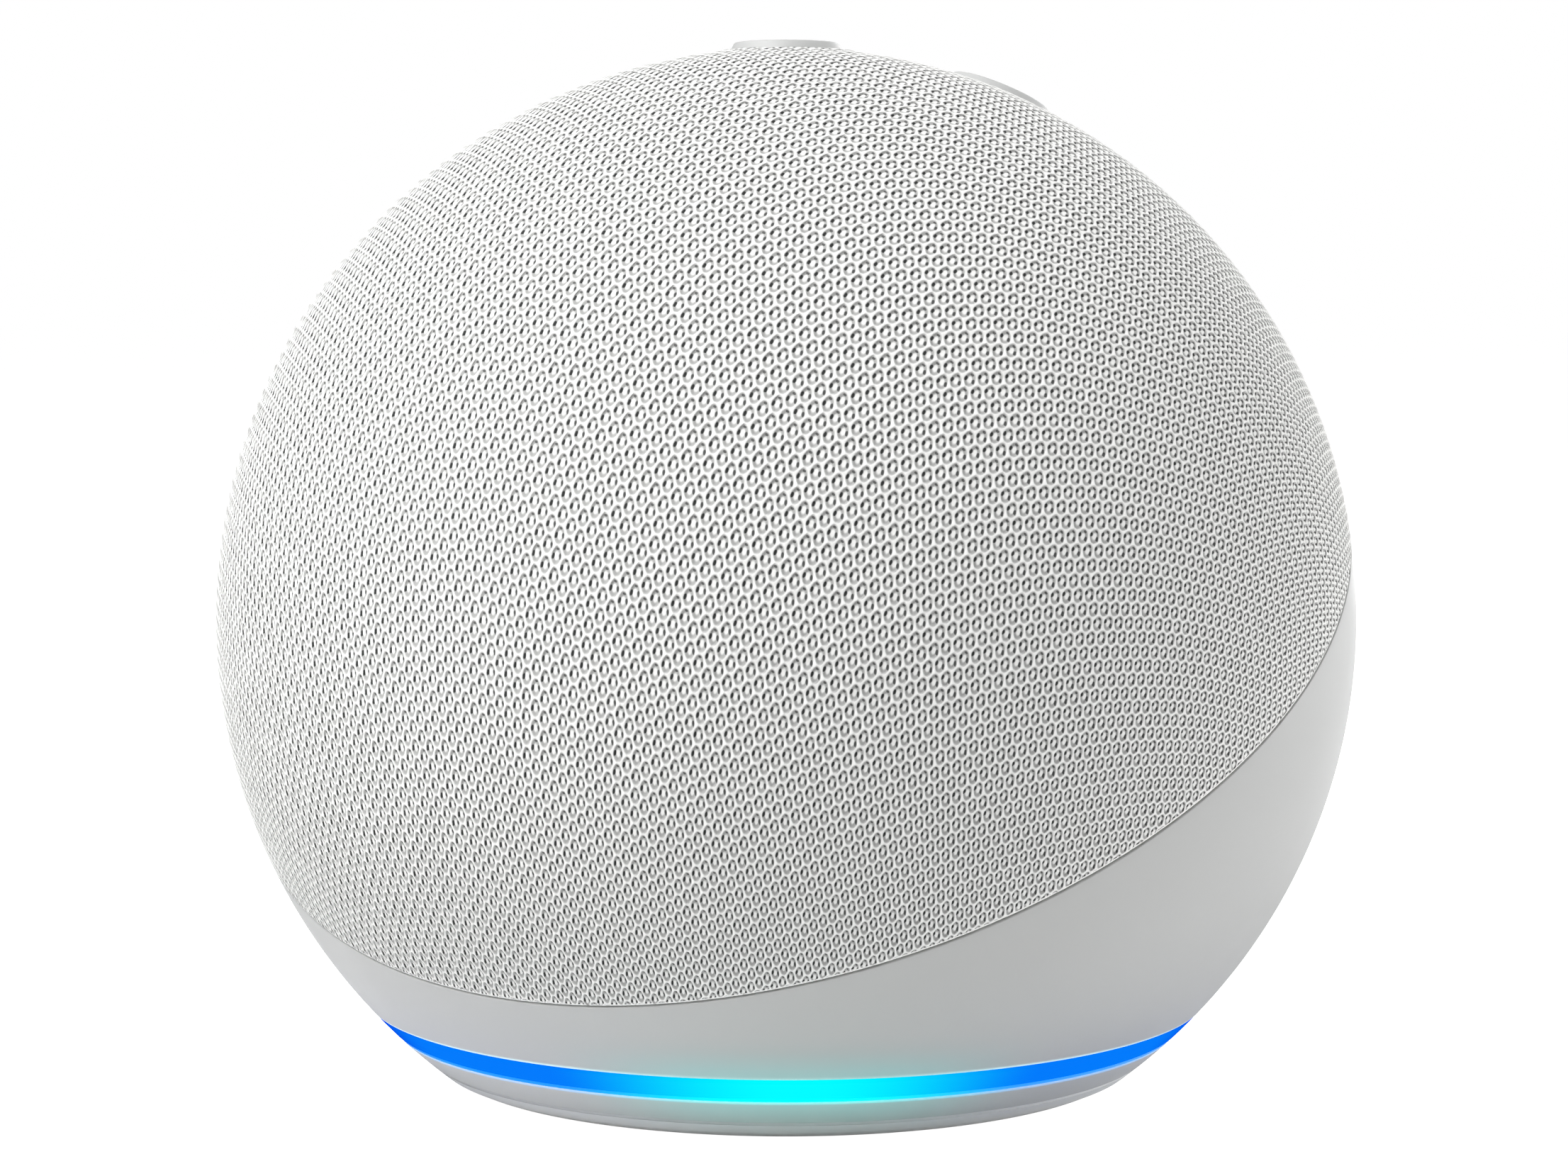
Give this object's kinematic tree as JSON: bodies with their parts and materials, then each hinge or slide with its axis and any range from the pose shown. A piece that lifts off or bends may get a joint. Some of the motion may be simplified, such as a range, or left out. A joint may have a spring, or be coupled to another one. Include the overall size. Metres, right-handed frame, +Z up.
{
  "type": "smart speaker",
  "caption": "Ball-shaped smart speaker with a knit upper cap, a smooth lower housing, a light ring near the base and push buttons on top.",
  "frame": {"origin": "on the table under the middle of the foot", "axes": "+Z up through the ball's middle, -Y to the front where the knit reaches lowest, +Y to the power inlet, +X to the side of the volume up button"},
  "size_m": [0.099, 0.0987, 0.0896],
  "materials": {
    "knit_fabric": "open off-white polyester knit",
    "white_plastic": "satin moulded plastic, cool white",
    "button_plastic": "fine satin moulded plastic, cool white",
    "light_diffuser": "translucent diffuser, lit blue with a cyan arc",
    "foot_rubber": "matt light grey rubber",
    "grey_plastic": "matt moulded plastic",
    "black_plastic": "matt moulded plastic",
    "seal_rubber": "soft matt rubber",
    "circuit_board": "green solder mask over glass laminate",
    "steel": "plated steel",
    "aluminium": "bare sheet",
    "ferrite": "dark sintered ferrite",
    "cone_paper": "pressed paper and cloth",
    "copper": "enamelled copper winding",
    "ribbon_film": "amber polyimide film",
    "red_insulation": "soft insulation",
    "black_insulation": "soft insulation"
  },
  "bodies": {
    "speaker_body": {"action_switch": "steel", "back_plate": "steel", "base_cover": "white_plastic", "base_screw_1": "steel", "base_screw_2": "steel", "base_screw_3": "steel", "board_connector": "black_plastic", "board_screw_left": "steel", "board_screw_right": "steel", "button_board": "circuit_board", "button_frame": "grey_plastic", "button_ribbon": "ribbon_film", "fabric_cover": "knit_fabric", "frame_screw_1": "steel", "frame_screw_2": "steel", "frame_screw_3": "steel", "grille_shell": "grey_plastic", "heat_spreader": "aluminium", "inner_frame": "grey_plastic", "jack_board": "circuit_board", "light_ring": "light_diffuser", "lower_housing": "white_plastic", "magnet": "ferrite", "main_board": "circuit_board", "mic_off_switch": "steel", "microphone_1": "steel", "microphone_2": "steel", "microphone_3": "steel", "microphone_4": "steel", "power_jack": "black_plastic", "processor": "black_plastic", "rubber_foot": "foot_rubber", "shield_can": "steel", "snap_ring": "grey_plastic", "speaker_box": "black_plastic", "speaker_frame": "steel", "speaker_gasket": "seal_rubber", "speaker_lead_black": "black_insulation", "speaker_lead_red": "red_insulation", "speaker_screw_1": "steel", "speaker_screw_2": "steel", "speaker_screw_3": "steel", "speaker_screw_4": "steel", "spider": "cone_paper", "surround": "seal_rubber", "thermal_pad": "seal_rubber", "top_plate": "steel", "volume_down_switch": "steel", "volume_up_switch": "steel"},
    "action_key": {"action_button": "button_plastic", "action_plunger": "black_plastic"},
    "volume_up_key": {"volume_up_button": "button_plastic", "volume_up_plunger": "black_plastic"},
    "mic_off_key": {"mic_off_button": "button_plastic", "mic_off_plunger": "black_plastic"},
    "volume_down_key": {"volume_down_button": "button_plastic", "volume_down_plunger": "black_plastic"},
    "driver_cone": {"speaker_cone": "cone_paper", "dust_cap": "cone_paper", "voice_coil": "copper"}
  },
  "joints": [
    {"name": "action_press", "type": "slide", "parent": "speaker_body", "child": "action_key", "axis": [0, -0.2807, -0.9598], "range_m": [0, 0.0004], "stiffness_N_per_m": 2500, "springref_m": -0.0002},
    {"name": "volume_up_press", "type": "slide", "parent": "speaker_body", "child": "volume_up_key", "axis": [0, -0.2807, -0.9598], "range_m": [0, 0.0004], "stiffness_N_per_m": 2500, "springref_m": -0.0002},
    {"name": "mic_off_press", "type": "slide", "parent": "speaker_body", "child": "mic_off_key", "axis": [0, -0.2807, -0.9598], "range_m": [0, 0.0004], "stiffness_N_per_m": 2500, "springref_m": -0.0002},
    {"name": "volume_down_press", "type": "slide", "parent": "speaker_body", "child": "volume_down_key", "axis": [0, -0.2807, -0.9598], "range_m": [0, 0.0004], "stiffness_N_per_m": 2500, "springref_m": -0.0002},
    {"name": "cone_slide", "type": "slide", "parent": "speaker_body", "child": "driver_cone", "axis": [0, -1, 0], "range_m": [-0.001, 0.001], "stiffness_N_per_m": 2000, "deforming": ["surround", "spider"]}
  ]
}
